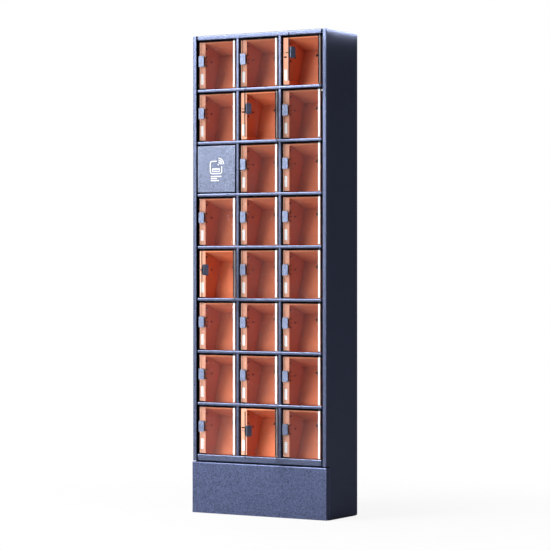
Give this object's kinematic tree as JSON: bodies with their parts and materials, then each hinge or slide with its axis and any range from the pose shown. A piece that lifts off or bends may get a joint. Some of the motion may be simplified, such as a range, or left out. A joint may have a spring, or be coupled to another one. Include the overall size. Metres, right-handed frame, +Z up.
{
  "type": "phone charging kiosk",
  "caption": "Tall steel cabinet with a grid of clear hinged doors over copper-coloured phone charging compartments, a card reader panel, a plinth and a rear service door.",
  "frame": {"origin": "centre of the cabinet's footprint on the floor", "axes": "+Z up, +X to the right of a person facing the doors, -Y out of the front, +Y out of the back"},
  "size_m": [0.604, 0.3977, 1.86],
  "materials": {
    "blue_coat": "fine-textured blue-grey powder coat",
    "copper_coat": "satin copper-coloured coat",
    "door_acrylic": "clear acrylic pane, with a white stile, painted catch plate and steel strike",
    "zinc_steel": "bright zinc plated",
    "black_plastic": "moulded black",
    "white_plastic": "satin white",
    "lock_case": "moulded dark grey",
    "circuit_board": "solder mask green",
    "aluminium_case": "mill finish",
    "foot_rubber": "moulded"
  },
  "bodies": {
    "cabinet": {"side_panel_left": "blue_coat", "side_panel_right": "blue_coat", "top_panel": "blue_coat", "base_tray": "blue_coat", "header_rail": "blue_coat", "bottom_rail": "blue_coat", "shelf_rails": "blue_coat", "mullions": "blue_coat", "grid_brackets": "blue_coat", "partition_plates": "blue_coat", "lock_channels": "copper_coat", "liner_left_walls": "copper_coat", "liner_right_walls": "copper_coat", "liner_ceilings": "copper_coat", "liner_floors": "copper_coat", "liner_back_walls": "copper_coat", "charging_ports": "black_plastic", "label_plates": "white_plastic", "lock_bodies": "lock_case", "lock_screws": "black_plastic", "hinge_pins": "zinc_steel", "control_cover": "blue_coat", "reader_icon": "white_plastic", "rfid_reader": "lock_case", "control_board": "circuit_board", "plinth_cover": "blue_coat", "levelling_feet": "foot_rubber", "rear_sill": "blue_coat", "rear_hinge_brackets": "zinc_steel", "power_inlet": "black_plastic", "power_supply": "aluminium_case", "charging_boards": "circuit_board", "wiring_looms": "black_plastic"},
    "lock_bolts": {"lock_bolts": "zinc_steel"},
    "rear_door": {"rear_door": "blue_coat"},
    "rear_lock": {"rear_lock": "zinc_steel"},
    "power_switch": {"power_switch": "black_plastic"},
    "door_r1c1": {"door_r1c1": "door_acrylic"},
    "door_r1c2": {"door_r1c2": "door_acrylic"},
    "door_r1c3": {"door_r1c3": "door_acrylic"},
    "door_r2c1": {"door_r2c1": "door_acrylic"},
    "door_r2c2": {"door_r2c2": "door_acrylic"},
    "door_r2c3": {"door_r2c3": "door_acrylic"},
    "door_r3c2": {"door_r3c2": "door_acrylic"},
    "door_r3c3": {"door_r3c3": "door_acrylic"},
    "door_r4c1": {"door_r4c1": "door_acrylic"},
    "door_r4c2": {"door_r4c2": "door_acrylic"},
    "door_r4c3": {"door_r4c3": "door_acrylic"},
    "door_r5c1": {"door_r5c1": "door_acrylic"},
    "door_r5c2": {"door_r5c2": "door_acrylic"},
    "door_r5c3": {"door_r5c3": "door_acrylic"},
    "door_r6c1": {"door_r6c1": "door_acrylic"},
    "door_r6c2": {"door_r6c2": "door_acrylic"},
    "door_r6c3": {"door_r6c3": "door_acrylic"},
    "door_r7c1": {"door_r7c1": "door_acrylic"},
    "door_r7c2": {"door_r7c2": "door_acrylic"},
    "door_r7c3": {"door_r7c3": "door_acrylic"},
    "door_r8c1": {"door_r8c1": "door_acrylic"},
    "door_r8c2": {"door_r8c2": "door_acrylic"},
    "door_r8c3": {"door_r8c3": "door_acrylic"}
  },
  "joints": [
    {"name": "door_r1c1_hinge", "type": "hinge", "parent": "cabinet", "child": "door_r1c1", "pos_m": [-0.1111, -0.1182, 1.745], "axis": [0, 0, 1], "range_deg": [0, 100]},
    {"name": "door_r1c2_hinge", "type": "hinge", "parent": "cabinet", "child": "door_r1c2", "pos_m": [0.0785, -0.1182, 1.745], "axis": [0, 0, 1], "range_deg": [0, 100]},
    {"name": "door_r1c3_hinge", "type": "hinge", "parent": "cabinet", "child": "door_r1c3", "pos_m": [0.2681, -0.1182, 1.745], "axis": [0, 0, 1], "range_deg": [-74, 26]},
    {"name": "door_r2c1_hinge", "type": "hinge", "parent": "cabinet", "child": "door_r2c1", "pos_m": [-0.1111, -0.1182, 1.542], "axis": [0, 0, 1], "range_deg": [0, 100]},
    {"name": "door_r2c2_hinge", "type": "hinge", "parent": "cabinet", "child": "door_r2c2", "pos_m": [0.0785, -0.1182, 1.542], "axis": [0, 0, 1], "range_deg": [-72.5, 27.5]},
    {"name": "door_r2c3_hinge", "type": "hinge", "parent": "cabinet", "child": "door_r2c3", "pos_m": [0.2681, -0.1182, 1.542], "axis": [0, 0, 1], "range_deg": [0, 100]},
    {"name": "door_r3c2_hinge", "type": "hinge", "parent": "cabinet", "child": "door_r3c2", "pos_m": [0.0785, -0.1182, 1.339], "axis": [0, 0, 1], "range_deg": [0, 100]},
    {"name": "door_r3c3_hinge", "type": "hinge", "parent": "cabinet", "child": "door_r3c3", "pos_m": [0.2681, -0.1182, 1.339], "axis": [0, 0, 1], "range_deg": [0, 100]},
    {"name": "door_r4c1_hinge", "type": "hinge", "parent": "cabinet", "child": "door_r4c1", "pos_m": [-0.1111, -0.1182, 1.136], "axis": [0, 0, 1], "range_deg": [0, 100]},
    {"name": "door_r4c2_hinge", "type": "hinge", "parent": "cabinet", "child": "door_r4c2", "pos_m": [0.0785, -0.1182, 1.136], "axis": [0, 0, 1], "range_deg": [0, 100]},
    {"name": "door_r4c3_hinge", "type": "hinge", "parent": "cabinet", "child": "door_r4c3", "pos_m": [0.2681, -0.1182, 1.136], "axis": [0, 0, 1], "range_deg": [0, 100]},
    {"name": "door_r5c1_hinge", "type": "hinge", "parent": "cabinet", "child": "door_r5c1", "pos_m": [-0.1111, -0.1182, 0.933], "axis": [0, 0, 1], "range_deg": [-71, 29]},
    {"name": "door_r5c2_hinge", "type": "hinge", "parent": "cabinet", "child": "door_r5c2", "pos_m": [0.0785, -0.1182, 0.933], "axis": [0, 0, 1], "range_deg": [0, 100]},
    {"name": "door_r5c3_hinge", "type": "hinge", "parent": "cabinet", "child": "door_r5c3", "pos_m": [0.2681, -0.1182, 0.933], "axis": [0, 0, 1], "range_deg": [0, 100]},
    {"name": "door_r6c1_hinge", "type": "hinge", "parent": "cabinet", "child": "door_r6c1", "pos_m": [-0.1111, -0.1182, 0.73], "axis": [0, 0, 1], "range_deg": [0, 100]},
    {"name": "door_r6c2_hinge", "type": "hinge", "parent": "cabinet", "child": "door_r6c2", "pos_m": [0.0785, -0.1182, 0.73], "axis": [0, 0, 1], "range_deg": [0, 100]},
    {"name": "door_r6c3_hinge", "type": "hinge", "parent": "cabinet", "child": "door_r6c3", "pos_m": [0.2681, -0.1182, 0.73], "axis": [0, 0, 1], "range_deg": [0, 100]},
    {"name": "door_r7c1_hinge", "type": "hinge", "parent": "cabinet", "child": "door_r7c1", "pos_m": [-0.1111, -0.1182, 0.527], "axis": [0, 0, 1], "range_deg": [0, 100]},
    {"name": "door_r7c2_hinge", "type": "hinge", "parent": "cabinet", "child": "door_r7c2", "pos_m": [0.0785, -0.1182, 0.527], "axis": [0, 0, 1], "range_deg": [0, 100]},
    {"name": "door_r7c3_hinge", "type": "hinge", "parent": "cabinet", "child": "door_r7c3", "pos_m": [0.2681, -0.1182, 0.527], "axis": [0, 0, 1], "range_deg": [0, 100]},
    {"name": "door_r8c1_hinge", "type": "hinge", "parent": "cabinet", "child": "door_r8c1", "pos_m": [-0.1111, -0.1182, 0.324], "axis": [0, 0, 1], "range_deg": [0, 100]},
    {"name": "door_r8c2_hinge", "type": "hinge", "parent": "cabinet", "child": "door_r8c2", "pos_m": [0.0785, -0.1182, 0.324], "axis": [0, 0, 1], "range_deg": [-73, 27]},
    {"name": "door_r8c3_hinge", "type": "hinge", "parent": "cabinet", "child": "door_r8c3", "pos_m": [0.2681, -0.1182, 0.324], "axis": [0, 0, 1], "range_deg": [0, 100]},
    {"name": "lock_bolts_slide", "type": "slide", "parent": "cabinet", "child": "lock_bolts", "axis": [0, 0, -1], "range_m": [0, 0.0065]},
    {"name": "rear_door_hinge", "type": "hinge", "parent": "cabinet", "child": "rear_door", "pos_m": [0.2795, 0.117, 0.981], "axis": [0, 0, -1], "range_deg": [0, 90]},
    {"name": "rear_lock_turn", "type": "hinge", "parent": "rear_door", "child": "rear_lock", "pos_m": [-0.2615, 0.118, 0.981], "axis": [0, -1, 0], "range_deg": [0, 90]},
    {"name": "power_switch_rock", "type": "hinge", "parent": "cabinet", "child": "power_switch", "pos_m": [-0.205, 0.117, 0.101], "axis": [-1, 0, 0], "range_deg": [0, 16]}
  ]
}
